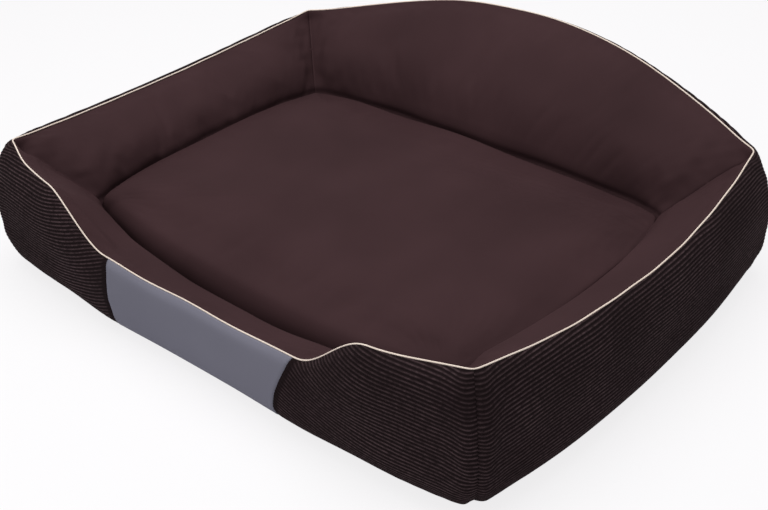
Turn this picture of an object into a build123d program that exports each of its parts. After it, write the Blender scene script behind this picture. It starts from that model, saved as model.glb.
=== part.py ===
from build123d import *
from math import atan, atan2, cos, hypot, pi, remainder, sin, sqrt
import os

os.makedirs("parts", exist_ok=True)

# A rectangular dog bed: four stuffed bolsters round a loose mattress.
# Lengths are in millimetres. +X runs to the right along the front, the low entry
# faces -Y, the arched back is at +Y, and the bed stands on the plane Z = 0.
# X = Y = 0 is the centre of the rectangle that joins the four rim corners.

# Rim, measured along the piping
rim_width = 1060.0  # between the left and right corners
rim_depth = 778.0  # between the front and back corners
corner_height = 255.0  # front corners above the floor
back_corner_drop = 6.5  # back corners below the front ones
side_bow = 38.0  # how far each side swells out half way along
side_sag = 29.0  # how far each side dips half way along
front_bow = 41.5
back_bow = 112.0  # how far the arch stands behind its corners
arch_rise = 81.0  # crest of the back above its corners
arch_shape_share = 2.29
entry_drop = 103.0  # low entry below the front corners
entry_half_width = 227.0  # level part of the entry
entry_ramp = 142.0  # length of the rise at each end of the entry
shoulder_dip = 17.0  # rim at the top of that rise, below the corner

# Foot of the walls, measured as the rim is
side_foot_bow = 34.0
front_foot_bow = 22.0
back_foot_bow = 56.0

# Cross section of a bolster
bulge = 32.5  # widest line of the outer face, outside the rim
bulge_height = 103.5
foot_offset = 8.5  # upright part of the outer face just above the floor, outside the rim
foot_roll = 17.0  # from there in to the seam under the foot
shoulder = 15.0  # rounded roll between the piping and the outer face
bulge_corner_radius = 24.0  # upright corner seams, seen from above
foot_corner_radius = 44.0
undercut_share = 0.3  # of the way from crease to rim, by which the inner foot stands back
inner_puff_share = 0.1
under_puff_share = 0.06
outer_puff_share = 0.06
foot_puff_share = 0.16
shoulder_puff_share = 0.15
puff_chords = 4  # straight strips in each swelling edge

# Crease where the mattress meets the bolsters, between its four corners
well_half_width = 414.5
well_front = -290.0
well_back = 278.0
side_crease_bow = 31.5
front_crease_bow = 65.0
back_crease_bow = 26.0
crease_height = 127.0

# Fabrics and seams
cover_thickness = 2.0
core_gap = 0.6  # between a cover and what it holds
seam_gap = 0.4  # between two sewn edges
piping_radius = 1.7
piping_sides = 6
piping_lift = 0.4  # centre of the piping above the two cover edges
base_thickness = 3.0
lining_thickness = 1.5
lining_clearance = 4.0  # inside the feet of the bolsters
panel_half_width = 219.5  # smooth panel in the entry

# Mattress
well_clearance = 3.0  # to the crease at the front and sides
rear_clearance = 8.0  # room for the zip's slider behind the mattress
mattress_edge_height = 138.0
mattress_crown = 14.0
mattress_top_roll = 26.0
mattress_bottom_roll = 18.0
top_roll_shares = (0, 1 / 3, 2 / 3, 1)  # of a quarter turn
bottom_roll_shares = (1, 1 / 2, 0)
crown_shares = ((0.22, 0.45), (0.48, 0.82), (0.78, 1))  # of the way in from the roll, and of the rise

# Zip in the rear side of the mattress cover
zip_height = 38.0
zip_half_length = 280.0
zip_window_half = 10.0
tape_width = 11.0
tape_thickness = 0.8
tape_overlap = 8.0  # tape beyond the window at each end
tooth_pitch = 4.8
tooth_length = 3.0
tooth_width = 3.0
tooth_thickness = 2.6
tooth_bead = 0.9  # strip that joins a row of teeth
chain_slot = 2.0  # between the two rows
pocket_margin = 3.0  # hollow in the core beyond the tapes
stop_length = 3.0

# Slider and its pull tab
running_gap = 0.35
slider_length = 16.0
wing_half_width = 6.0
wing_thickness = 1.6
flange_thickness = 1.2
neck_length = 4.0
neck_width = 1.2
bridge_width = 2.4
bridge_span = 8.0
bridge_bar = 1.3
bridge_opening = 2.6
pull_bar_radius = 0.8
pull_length = 24.0
pull_width = 7.0
pull_thickness = 1.4
pull_eye_width = 3.4
pull_eye_length = 6.8  # from the pull's axis
pull_hole_radius = 1.6
pull_lift = 0.6  # pull tab above the slider's front wing

# How far along each half of a wall its sections lie, from the middle to the corner
side_station_shares = (0, 0.35, 0.7, 0.93, 1)
back_station_shares = (0, 0.2, 0.4, 0.6, 0.8, 0.94, 1)
panel_station_shares = (0, 1)  # of the smooth panel's half width
flank_station_shares = (0, 0.12, 0.24, 0.36, 0.5, 0.75, 0.94, 1)  # from that panel's edge to the corner
mattress_flank_shares = (0, 0.5, 0.94)
mattress_side_shares = (0, 0.35, 0.7, 0.93)
mattress_corner_share = 0.94  # where its rear side meets the corner

core_level = base_thickness + seam_gap  # underside of what stands on the base panel
foot_level = core_level - cover_thickness - core_gap  # underside of the outer cover
overrun = 50.0  # how far a cutting solid runs past what it cuts


def smooth(share):
    """Ease from 0 to 1 with level ends."""
    share = min(max(share, 0), 1)
    return share * share * (3 - 2 * share)


def swell(t):
    """Bow along a wall: 1 half way, 0 at its corners t = -1 and t = 1."""
    return 1 - t * t


# Rim and crease of each wall: t runs from -1 to 1 along +X, or along +Y on the sides


def side_rim(t, side):
    drop = back_corner_drop * (t + 1) / 2 + side_sag * swell(t)
    return Vector(side * (rim_width / 2 + side_bow * swell(t)), t * rim_depth / 2, corner_height - drop)


def side_crease(t, side):
    middle = (well_back + well_front) / 2
    x = well_half_width + side_crease_bow * (1 - abs(t) ** 3)
    return Vector(side * x, middle + t * (well_back - well_front) / 2, crease_height)


def front_rim(t):
    across = abs(t) * rim_width / 2
    ramp = smooth((across - entry_half_width) / entry_ramp)
    ease = smooth((across - entry_half_width - entry_ramp) / (rim_width / 2 - entry_half_width - entry_ramp))
    drop = entry_drop * (1 - ramp) + shoulder_dip * (1 - ease) * ramp
    return Vector(t * rim_width / 2, -rim_depth / 2 - front_bow * (1 - t**4), corner_height - drop)


def front_crease(t):
    """Its sections stand nearly square to the rim beside the smooth panel, and fan out to the corners."""
    x = t * rim_width / 2 * (1 - (1 - 2 * well_half_width / rim_width) * abs(t) ** 3)
    return Vector(x, well_front - front_crease_bow * (1 - abs(x / well_half_width) ** 3), crease_height)


def back_rim(t):
    rise = arch_rise * (1 - abs(t) ** arch_shape_share) ** 1.5
    height = corner_height - back_corner_drop + rise
    return Vector(t * rim_width / 2, rim_depth / 2 + back_bow * swell(t), height)


def back_crease(t):
    return Vector(t * well_half_width, well_back + back_crease_bow * (1 - t**6), crease_height)


def mirrored(shares):
    """Stations for a whole wall from those of one half."""
    return [-s for s in reversed(shares) if s > 0] + list(shares)


class Wall:
    """One bolster between two corners.

    normal points out of the bed, and foot_shift is how much less the foot bows than the rim.
    """

    def __init__(self, rim, crease, normal, foot_shift):
        self.rim = rim
        self.crease = crease
        self.normal = normal
        self.foot_shift = foot_shift

    def section(self, t):
        """Upright plane through rim and crease at t, and the sizes of the bolster's section in it."""
        rim, crease = self.rim(t), self.crease(t)
        reach = Vector(rim.X - crease.X, rim.Y - crease.Y, 0)
        outward = reach.normalized()
        plane = Plane(origin=(rim.X, rim.Y, 0), x_dir=outward, z_dir=outward.cross(Vector(0, 0, 1)))
        half = rim_width / 2 if abs(self.normal.Y) > 0 else rim_depth / 2
        from_corner = (1 - abs(t)) * half

        def out(offset, radius, shift):
            """Distance along the section of a line that lies offset outside the rim."""
            blunt = (sqrt(2) - 1) * radius * max(0, 1 - from_corner / radius) ** 2
            if abs(t) == 1:
                return sqrt(2) * offset - blunt
            return (offset - shift) / outward.dot(self.normal) - blunt

        shift = self.foot_shift * swell(t)
        height = rim.Z
        wide = bulge_height * min(height, corner_height) / corner_height
        foot = out(foot_offset, foot_corner_radius, shift)
        widest = out(bulge, bulge_corner_radius, shift)
        shoulder_out = out(shoulder, bulge_corner_radius, 0)
        land = piping_radius + seam_gap
        # each corner of the section, and how far the edge from there to the next swells, over its chord
        corners = [
            (-reach.length * (1 - undercut_share), foot_level, 0),
            (foot - foot_roll, foot_level, foot_puff_share),
            (widest, wide, outer_puff_share),
            (shoulder_out, height - shoulder, shoulder_puff_share),
            (land, height, 0),
            (-land, height, inner_puff_share),
            (-reach.length, crease_height, under_puff_share),
        ]
        return plane, corners


def turned(normal, angle):
    return (
        normal[0] * cos(angle) - normal[1] * sin(angle),
        normal[0] * sin(angle) + normal[1] * cos(angle),
    )


def inset_edges(corners, inset):
    """Edges of a closed outline of arcs, moved inward by one distance, as (start, middle, end, curved)."""
    count = len(corners)
    spans = []
    for i, (x, y, puff) in enumerate(corners):
        x2, y2, _ = corners[(i + 1) % count]
        chord = hypot(x2 - x, y2 - y)
        normal = ((y2 - y) / chord, (x - x2) / chord)
        angle = 2 * atan(2 * puff)
        middle = ((x + x2) / 2 + puff * chord * normal[0], (y + y2) / 2 + puff * chord * normal[1])
        spans.append((turned(normal, -angle), normal, turned(normal, angle), middle))

    def joint(i):
        """Corner i, moved to where the two inset edges beside it meet."""
        before, after = spans[i - 1][2], spans[i][0]
        share = inset / (1 + before[0] * after[0] + before[1] * after[1])
        x, y, _ = corners[i]
        return (x - share * (before[0] + after[0]), y - share * (before[1] + after[1]))

    joints = [joint(i) for i in range(count)]
    edges = []
    for i in range(count):
        _, normal, _, middle = spans[i]
        inner = (middle[0] - inset * normal[0], middle[1] - inset * normal[1])
        edges.append((joints[i], inner, joints[(i + 1) % count], corners[i][2] > 0))
    return edges


def circle_of(edge):
    """Centre and radius of the circle through an edge's three points."""
    (x1, y1), (x2, y2), (x3, y3), _ = edge
    twice = 2 * (x1 * (y2 - y3) + x2 * (y3 - y1) + x3 * (y1 - y2))
    squares = x1 * x1 + y1 * y1, x2 * x2 + y2 * y2, x3 * x3 + y3 * y3
    centre_x = (squares[0] * (y2 - y3) + squares[1] * (y3 - y1) + squares[2] * (y1 - y2)) / twice
    centre_y = (squares[0] * (x3 - x2) + squares[1] * (x1 - x3) + squares[2] * (x2 - x1)) / twice
    return centre_x, centre_y, hypot(x1 - centre_x, y1 - centre_y)


def cut_at(edge, height):
    """A downward arc that ends where it comes to a height."""
    start, _, end, curved = edge
    centre_x, centre_y, radius = circle_of(edge)
    side = -1 if end[0] < centre_x else 1

    def at(y):
        return (centre_x + side * sqrt(radius**2 - (y - centre_y) ** 2), y)

    return (start, at((start[1] + height) / 2), at(height), curved)


def along(edge):
    """Points from the start of an edge to its end, with a swelling edge split into equal chords."""
    start, _, end, curved = edge
    if not curved:
        return [start, end]
    centre_x, centre_y, radius = circle_of(edge)
    first, last = (atan2(y - centre_y, x - centre_x) for x, y in (start, end))
    turn = remainder(last - first, 2 * pi)
    points = [start]
    for i in range(1, puff_chords):
        angle = first + turn * i / puff_chords
        points.append((centre_x + radius * cos(angle), centre_y + radius * sin(angle)))
    return points + [end]


def placed(plane, points):
    return [plane.from_local_coords(Vector(*p, 0)) for p in points]


def flat_face(points):
    return make_face(Polyline(*points, close=True))


def whole_outline(plane, corners, inset=0):
    """Outline of the whole section, moved inward all round."""
    points = []
    for edge in inset_edges(corners, inset):
        points += along(edge)[:-1]
    return placed(plane, points)


def band_outline(plane, corners, first, last, lowest):
    """Strip of the section along the edges first to last, one cover thick and no lower than lowest.

    Its first half runs along the outside, and its second half comes back along the inside.
    """
    outside = inset_edges(corners, 0)[first : last + 1]
    inside = inset_edges(corners, cover_thickness)[first : last + 1]
    if outside[-1][2][1] < lowest:
        outside[-1] = cut_at(outside[-1], lowest)
        inside[-1] = cut_at(inside[-1], lowest)
    points = [outside[0][0]]
    for edge in outside:
        points += along(edge)[1:]
    points.append(inside[-1][2])
    for edge in reversed(inside):
        points += along(edge)[-2::-1]
    return placed(plane, points)


def skinned(outlines, stations, turn):
    """Solid with two flat facets between each pair of matching sides of its outlines.

    The fold between the two facets runs the same way across the wall on both faces of a cover: from
    side number turn on, the outline runs back, so the fold changes ends there.
    """
    count = len(outlines[0])
    faces = [flat_face(outlines[0]), flat_face(outlines[-1])]
    for i in range(len(outlines) - 1):
        near, far = outlines[i], outlines[i + 1]
        if stations[i] + stations[i + 1] < 0:
            near, far = far, near
        for k in range(count):
            n = (k + 1) % count
            if k < turn:
                faces.append(flat_face((near[k], near[n], far[n])))
                faces.append(flat_face((near[k], far[n], far[k])))
            else:
                faces.append(flat_face((near[k], near[n], far[k])))
                faces.append(flat_face((near[n], far[n], far[k])))
    return Solid(Shell(faces))


front = Wall(front_rim, front_crease, Vector(0, -1, 0), front_bow - front_foot_bow)
back = Wall(back_rim, back_crease, Vector(0, 1, 0), back_bow - back_foot_bow)
left, right = (
    Wall(
        lambda t, side=side: side_rim(t, side),
        lambda t, side=side: side_crease(t, side),
        Vector(side, 0, 0),
        side_bow - side_foot_bow,
    )
    for side in (-1, 1)
)

panel_share = panel_half_width / (rim_width / 2)
panel_stations = [panel_share * s for s in mirrored(panel_station_shares)]
flank_stations = [panel_share + (1 - panel_share) * s for s in flank_station_shares]
front_stations = [-t for t in reversed(flank_stations)] + panel_stations[1:-1] + flank_stations
side_stations = mirrored(side_station_shares)
back_stations = mirrored(back_station_shares)
walls = {
    "back": (back, back_stations),
    "left": (left, side_stations),
    "right": (right, side_stations),
    "front": (front, front_stations),
}

# Edges of the section, by their place in the list that Wall.section makes
outer_edges = (1, 3)
inner_edges = (5, 6)


def bolster_core(wall, stations):
    outlines = [whole_outline(*wall.section(t), cover_thickness + core_gap) for t in stations]
    return skinned(outlines, stations, len(outlines[0]))


def bolster_cover(wall, stations, edges, lowest):
    outlines = [band_outline(*wall.section(t), *edges, lowest) for t in stations]
    return skinned(outlines, stations, len(outlines[0]) // 2 - 1)


def piping_outline(wall, t):
    """Section of the piping, which sits between the edges of the two covers."""
    plane, _ = wall.section(t)
    height = wall.rim(t).Z + piping_lift
    points = []
    for i in range(piping_sides):
        angle = 2 * pi * (i + 1 / 2) / piping_sides
        points.append((piping_radius * cos(angle), height + piping_radius * sin(angle), 0))
    return whole_outline(plane, points)


def piping_run(wall, stations):
    outlines = [piping_outline(wall, t) for t in stations]
    return skinned(outlines, stations, piping_sides)


# Base and lining

round_the_bed = (
    (front, front_stations),
    (right, side_stations),
    (back, list(reversed(back_stations))),
    (left, list(reversed(side_stations))),
)


def sheet_inside(reach_of, level, thickness):
    """Flat cloth whose edge follows the four walls, at the reach that reach_of gives for a section."""
    points = []
    for wall, stations in round_the_bed:
        for t in stations[:-1]:
            plane, corners = wall.section(t)
            points.append(plane.from_local_coords(Vector(reach_of(corners), level, 0)))
    return extrude(make_face(Polyline(*points, close=True)), thickness, dir=(0, 0, 1))


def base_panel():
    """Sole of the bed, out to the seam with the outer covers under the foot of each wall."""

    def seam(corners):
        cover_end, _, _, _ = inset_edges(corners, cover_thickness)[outer_edges[0]]
        return cover_end[0] - seam_gap

    return sheet_inside(seam, 0, base_thickness)


def well_lining():
    """Flat cloth on the sole, inside the feet of the four bolsters."""
    return sheet_inside(lambda corners: corners[0][0] - lining_clearance, base_thickness, lining_thickness)


# Mattress

mattress_bottom = base_thickness + lining_thickness + seam_gap
mattress_front = well_front - front_crease_bow + well_clearance
rear_flat_half = zip_half_length + tape_overlap + 2 * pocket_margin  # flat part that takes the zip
rear_flat_share = rear_flat_half / well_half_width
rear_face = back_crease(rear_flat_share).Y - rear_clearance
mattress_middle = (mattress_front + rear_face) / 2


def mattress_outline():
    """Corners of the mattress seen from above, which stand clear of the crease all round."""
    flank_side = [panel_share + (1 - panel_share) * s for s in mattress_flank_shares]
    front_places = [-t for t in reversed(flank_side)] + flank_side
    side_places = mirrored(mattress_side_shares)
    points = [front_crease(t) + Vector(0, well_clearance, 0) for t in front_places]
    points += [side_crease(t, 1) - Vector(well_clearance, 0, 0) for t in side_places]
    for t in (mattress_corner_share, rear_flat_share, -rear_flat_share, -mattress_corner_share):
        points.append(back_crease(t) - Vector(0, rear_clearance, 0))
    points += [side_crease(t, -1) + Vector(well_clearance, 0, 0) for t in reversed(side_places)]
    return [(p.X, p.Y, 0) for p in points]


def mattress_ring(inset, level, way_in=0):
    """The mattress's outline at one height: moved inward all round, then shrunk on its middle."""
    points = [edge[0] for edge in inset_edges(mattress_outline(), inset)]
    kept = 1 - way_in
    return [Vector(x * kept, mattress_middle + (y - mattress_middle) * kept, level) for x, y in points]


def mattress_block(inset):
    """The whole cushion, or what lies an inset inside its skin."""
    bottom_roll, top_roll = mattress_bottom_roll - inset, mattress_top_roll - inset
    low, high = mattress_bottom + mattress_bottom_roll, mattress_edge_height - mattress_top_roll
    rings = []
    for share in bottom_roll_shares:
        angle = pi / 2 * share
        rings.append((mattress_bottom_roll - bottom_roll * cos(angle), low - bottom_roll * sin(angle)))
    for share in top_roll_shares:
        angle = pi / 2 * share
        rings.append((mattress_top_roll - top_roll * cos(angle), high + top_roll * sin(angle)))
    for way_in, rise in crown_shares:
        rings.append((mattress_top_roll, high + top_roll + rise * mattress_crown, way_in))
    outlines = [mattress_ring(*ring) for ring in rings]
    return skinned(outlines, range(len(rings)), len(outlines[0]))


def block(low, high):
    """Box between two opposite corners, each (x, y, z)."""
    size = [b - a for a, b in zip(low, high)]
    middle = [(a + b) / 2 for a, b in zip(low, high)]
    return Pos(*middle) * Box(*size)


# Zip: its chain lies along X in the rear side, upper row and lower row either side of zip_height

tape_y = rear_face - cover_thickness - seam_gap - tape_thickness / 2
row_outer = chain_slot / 2 + tooth_width
tape_outer = row_outer + tape_width
chain_half = zip_half_length - stop_length
wing_inner_y = tooth_thickness / 2 + running_gap
wing_outer_y = wing_inner_y + wing_thickness
slider_rest_x = chain_half - running_gap - slider_length / 2
slider_travel = 2 * slider_rest_x
pull_axis_y = tape_y + wing_outer_y + pull_lift + pull_thickness / 2


def zip_window():
    """Slot in the mattress cover that the zip closes."""
    return block(
        (-zip_half_length, rear_face - overrun / 2, zip_height - zip_window_half),
        (zip_half_length, rear_face + overrun, zip_height + zip_window_half),
    )


def core_pocket():
    """Hollow in the core that leaves the slider's rear wing free."""
    half_length = zip_half_length + tape_overlap + pocket_margin
    half_height = tape_outer + pocket_margin
    floor = tape_y - wing_outer_y - running_gap
    return block(
        (-half_length, floor, zip_height - half_height),
        (half_length, rear_face + overrun, zip_height + half_height),
    )


def mattress_covers():
    """Top and bottom halves of the cover, which meet in a seam at the zip's height."""
    shell = mattress_block(0) - mattress_block(cover_thickness) - zip_window()
    reach = rim_width  # past the mattress on every side
    lower = block((-reach, -reach, -overrun), (reach, reach, zip_height))
    upper = block((-reach, -reach, zip_height), (reach, reach, corner_height))
    return shell & upper, shell & lower


def zip_tape(side):
    """Woven strip on one side of the chain, tucked behind the edge of the cover."""
    half_length = zip_half_length + tape_overlap
    edges = sorted((zip_height + side * row_outer, zip_height + side * tape_outer))
    return block(
        (-half_length, tape_y - tape_thickness / 2, edges[0]),
        (half_length, tape_y + tape_thickness / 2, edges[1]),
    )


def zip_teeth(side):
    """Row of moulded teeth on a bead along one tape, half a pitch out of step with the other row."""
    tip, bead, edge = (
        zip_height + side * z for z in (chain_slot / 2, row_outer - tooth_bead, row_outer)
    )
    start = -chain_half + running_gap
    step = tooth_pitch * (1 + side) / 4
    count = int((2 * chain_half - 2 * running_gap - step) / tooth_pitch)
    comb = [(start, edge)]
    for i in range(count):
        x = start + step + i * tooth_pitch
        comb += [(x, bead), (x, tip), (x + tooth_length, tip), (x + tooth_length, bead)]
    comb += [(-start, bead), (-start, edge)]
    if side > 0:
        comb.insert(1, (start, bead))
    back_y = tape_y - tooth_thickness / 2
    outline = Polyline(*[(x, back_y, z) for x, z in comb], close=True)
    return extrude(make_face(outline), tooth_thickness, dir=(0, 1, 0))


def zip_stops():
    """Two stops at the closed end, one on each tape, and the joining box at the open end."""
    depth = tooth_thickness / 2
    stops = [
        block(
            (-zip_half_length, tape_y - depth, zip_height - row_outer),
            (-chain_half, tape_y + depth, zip_height + row_outer),
        )
    ]
    for side in (-1, 1):
        edges = sorted((zip_height + side * chain_slot / 2, zip_height + side * row_outer))
        low, high = (chain_half, tape_y - depth, edges[0]), (zip_half_length, tape_y + depth, edges[1])
        stops.append(block(low, high))
    return Compound(stops)


def zip_slider():
    """Two wings joined by a neck between the rows, with side flanges and a bridge for the pull."""
    half = slider_length / 2
    front_y, inner_y = tape_y + wing_outer_y, tape_y + wing_inner_y
    plan = Rectangle(slider_length, 2 * wing_half_width)
    plan = Pos(slider_rest_x, front_y, zip_height) * Rot(90, 0, 0) * plan
    plan = fillet(plan.vertices(), wing_half_width / 3)
    front_wing = extrude(plan, wing_thickness)
    rear_wing = Pos(0, -wing_outer_y - wing_inner_y, 0) * front_wing
    neck = block(
        (slider_rest_x + half - neck_length, tape_y - wing_inner_y, zip_height - neck_width / 2),
        (slider_rest_x + half - neck_width, inner_y, zip_height + neck_width / 2),
    )
    body = front_wing + rear_wing + neck
    flange_foot = tape_y + tape_thickness / 2 + running_gap
    straight = half - wing_half_width / 3
    for side in (-1, 1):
        edges = sorted(
            (zip_height + side * wing_half_width, zip_height + side * (wing_half_width - flange_thickness))
        )
        body += block(
            (slider_rest_x - straight, flange_foot, edges[0]),
            (slider_rest_x + straight, inner_y + wing_thickness / 2, edges[1]),
        )
    bridge_half = bridge_span / 2 + bridge_bar
    bridge = block(
        (slider_rest_x - bridge_half, front_y - wing_thickness / 2, zip_height - bridge_width / 2),
        (slider_rest_x + bridge_half, front_y + bridge_opening + bridge_bar, zip_height + bridge_width / 2),
    )
    bridge = fillet(
        bridge.edges().filter_by(Axis.Z).group_by(Axis.Y)[-1],
        bridge_bar,
    )
    opening = block(
        (slider_rest_x - bridge_span / 2, front_y, zip_height - bridge_width),
        (slider_rest_x + bridge_span / 2, front_y + bridge_opening, zip_height + bridge_width),
    )
    return body + (bridge - opening)


def zip_pull():
    """Flat tab with an eye, whose end bar turns under the slider's bridge."""
    low_y, high_y = pull_axis_y - pull_thickness / 2, pull_axis_y + pull_thickness / 2
    tab = block(
        (slider_rest_x - pull_length, low_y, zip_height - pull_width / 2),
        (slider_rest_x + pull_bar_radius, high_y, zip_height + pull_width / 2),
    )
    tab = fillet(tab.edges().filter_by(Axis.Y).group_by(Axis.X)[0], pull_width / 3)
    eye = block(
        (slider_rest_x - pull_eye_length, low_y - overrun, zip_height - pull_eye_width / 2),
        (slider_rest_x + overrun, high_y + overrun, zip_height + pull_eye_width / 2),
    )
    hole_x = slider_rest_x - pull_length + pull_width / 2
    hole = Pos(hole_x, pull_axis_y, zip_height) * Rot(90, 0, 0) * Cylinder(pull_hole_radius, overrun)
    bar_length = pull_eye_width + (pull_width - pull_eye_width) / 2
    bar = Pos(slider_rest_x, pull_axis_y, zip_height) * Cylinder(pull_bar_radius, bar_length)
    return tab - eye - hole + bar


def save(shape, name):
    shape.label = name
    export_step(shape, f"parts/{name}.step")
    return shape


for name, (wall, stations) in walls.items():
    save(bolster_core(wall, stations), f"{name}_core")
    save(bolster_cover(wall, stations, inner_edges, core_level), f"{name}_inner_cover")
    if wall is not front:
        save(bolster_cover(wall, stations, outer_edges, foot_level), f"{name}_outer_cover")

left_flank = [-t for t in reversed(flank_stations)]
save(bolster_cover(front, panel_stations, outer_edges, foot_level), "front_grey_panel")
save(bolster_cover(front, flank_stations, outer_edges, foot_level), "front_right_outer_cover")
save(bolster_cover(front, left_flank, outer_edges, foot_level), "front_left_outer_cover")
save(Compound([piping_run(wall, stations) for wall, stations in walls.values()]), "rim_piping")
save(base_panel(), "base_panel")
save(well_lining(), "well_lining")
top_cover, bottom_cover = mattress_covers()
save(top_cover, "mattress_top_cover")
save(bottom_cover, "mattress_bottom_cover")
save(mattress_block(cover_thickness + core_gap) - core_pocket(), "mattress_core")
save(zip_tape(1), "zip_tape_upper")
save(zip_tape(-1), "zip_tape_lower")
save(zip_teeth(1), "zip_teeth_upper")
save(zip_teeth(-1), "zip_teeth_lower")
save(zip_stops(), "zip_stops")
save(zip_slider(), "zip_slider")
save(zip_pull(), "zip_pull")
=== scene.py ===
import bpy
import numpy as np
from mathutils import Matrix, Vector
from mathutils.kdtree import KDTree


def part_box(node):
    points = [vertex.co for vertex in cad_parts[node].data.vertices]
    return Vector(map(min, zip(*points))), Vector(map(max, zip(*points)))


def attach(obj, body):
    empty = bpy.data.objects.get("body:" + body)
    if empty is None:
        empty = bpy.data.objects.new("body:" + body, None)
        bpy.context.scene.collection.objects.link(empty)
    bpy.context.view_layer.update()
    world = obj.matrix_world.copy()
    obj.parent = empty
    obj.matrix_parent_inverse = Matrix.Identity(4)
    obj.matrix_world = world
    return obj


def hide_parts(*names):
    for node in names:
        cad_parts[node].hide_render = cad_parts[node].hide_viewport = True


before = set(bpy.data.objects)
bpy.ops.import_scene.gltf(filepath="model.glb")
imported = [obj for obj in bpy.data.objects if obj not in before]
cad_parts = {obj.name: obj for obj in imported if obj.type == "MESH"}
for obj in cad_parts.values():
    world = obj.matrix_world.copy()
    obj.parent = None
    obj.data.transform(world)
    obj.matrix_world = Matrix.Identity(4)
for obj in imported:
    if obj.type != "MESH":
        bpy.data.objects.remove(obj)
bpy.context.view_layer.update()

# A rectangular dog bed: four stuffed bolsters round a loose mattress.
# Lengths are in metres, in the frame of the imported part: +X runs to the right along the
# front, the low entry faces -Y, and the bed stands on the plane Z = 0.

# Rim, measured along the piping
rim_width = 1.060
rim_depth = 0.778
corner_height = 0.255
back_corner_drop = 0.0065
side_bow = 0.038
side_sag = 0.029
front_bow = 0.0415
back_bow = 0.112
arch_rise = 0.081
arch_shape_share = 2.29
entry_drop = 0.103
entry_half_width = 0.227
entry_ramp = 0.142
shoulder_dip = 0.017
rim_wander = 0.0010  # how far the sewn rim strays from its line

# Foot of the walls
side_foot_bow = 0.034
front_foot_bow = 0.022
back_foot_bow = 0.056

# Cross section of a bolster
bulge = 0.0325
bulge_height = 0.1035
foot_offset = 0.0085
foot_roll = 0.017
shoulder = 0.015
bulge_corner_radius = 0.024
foot_corner_radius = 0.044
undercut_share = 0.3  # of the way from crease to rim, by which the inner foot stands back
inner_puff_share = 0.1
under_puff_share = 0.06
outer_puff_share = 0.06
foot_puff_share = 0.16
shoulder_puff_share = 0.22
corner_blend = 0.05  # stretch beside a corner over which a wall turns into its mitre

# Crease and floor of the well
well_half_width = 0.4145
well_front = -0.290
well_back = 0.278
side_crease_bow = 0.0315
front_crease_bow = 0.065
back_crease_bow = 0.026
crease_skew = 0.016  # the front crease lies nearer the rim on the right
crease_height = 0.127
base_thickness = 0.003
lining_thickness = 0.0015
seam_gap = 0.0004
cover_thickness = 0.002
core_gap = 0.0006
lining_clearance = 0.004
piping_radius = 0.0013
piping_lean = (-0.0022, -0.0002)  # at the left and back it leans in over the inner cover
panel_half_width = 0.2195
seam_shares = (0, 0.33, 0.41, 0.55, 0.72, 0.87, 1)  # up the cloth, from foot to piping
left_seam = (-0.404, -0.392, -0.390, -0.394, -0.390, -0.390, -0.402)  # place along the front wall
right_seam = (0.333, 0.341, 0.346, 0.361, 0.385, 0.407, 0.421)
foot_level = base_thickness + seam_gap - cover_thickness - core_gap

# Corduroy
rib_pitch = 0.0068
rib_depth = 0.0012
rib_shape_share = 0.75
rib_highlight_power = 8  # how narrow the painted highlight on each rib is
rib_shift_sides, rib_shift_ends = 0.2, 0.65  # of a rib, at the seam under the foot
rib_wander = 0.0012
rib_wander_length = 0.11
rib_pucker = 0.0008  # the same, beside the upright seams
rib_pucker_length = 0.03
swing_start = 0.40  # beyond this X the ribs of the front wall run level
swing_centre = 0.47  # height, along the cloth, of the centre that they swing round
cloth_step = 0.0011  # grid step across the ribs
wall_step = 0.0040  # grid step along a wall
flank_step = 0.0013  # the same, beside the grey panel

# Seams where two bolsters meet
mitre_depth = 0.0055  # crisp line of the seam
mitre_width = 0.006
mitre_round = 0.004  # soft turn of the filling towards the seam
mitre_round_width = 0.022
mitre_flat = 0.013  # how far the line of a seam is drawn in from the walls' own bulge
mitre_plane = 0.030  # stretch over which the cloth turns into the plane of the seam
pit_depth = 0.012  # hollow just inside a corner of the rim
pit_place = 0.018  # below the piping
pit_width = 0.016
shallow_pit_share = 0.3  # at every corner but the front left one
pucker_height = 0.0011
pucker_length = 0.027
corner_pull = (0.011, 0.004)  # how far the front left corner of the rim is drawn in and up
corner_pull_reach = 0.09

# Inner faces of the bolsters
belly_height = 0.009  # extra fullness of the inner faces, low down
belly_place = 0.70  # of the way from piping to crease
belly_width = 0.20
front_belly_share = 0.2
crease_groove = 0.006  # sharp valley where a bolster meets the mattress
crease_groove_width = 0.009
crease_groove_shares = {"left": 1, "back": 1, "right": 0.2, "front": 0}
gather_height = 0.0009  # fine folds just below the piping
gather_length = 0.03
left_dip = 0.0020  # the left bolster lies lower just beside the piping
inner_unevenness = 0.0016
inner_unevenness_length = 0.22

# Outer covers
seam_groove = 0.0032  # at the upright corner seams of the outer covers
seam_width = 0.0105
seam_crisp_width = 0.003
seam_crisp_share = 0.15
panel_groove = 0.0016  # at the seams of the grey panel
panel_groove_width = 0.004
panel_welt = 0.0008  # fine ridge along those seams
panel_welt_place = 0.0035
panel_welt_width = 0.0015
cover_unevenness = 0.0012
cover_unevenness_length = 0.16
# roll of the outer cover that stands above the piping
brow_height = {"left": 0.0055, "back": 0.003}
brow_place = 0.007  # from the piping, down the cloth
brow_width = 0.005
brow_fade = 0.08  # from a corner

# Simulated swelling of the stuffed pieces
swell_frames = 20
swell_quality = 5
swell_pressure = 4
swell_limit = 0.008  # no point moves further than this
spare_cloth = 0.012  # share of extra cloth, which gathers into folds
swell_voxel = 0.007  # grid step of the mattress in the simulation

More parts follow.
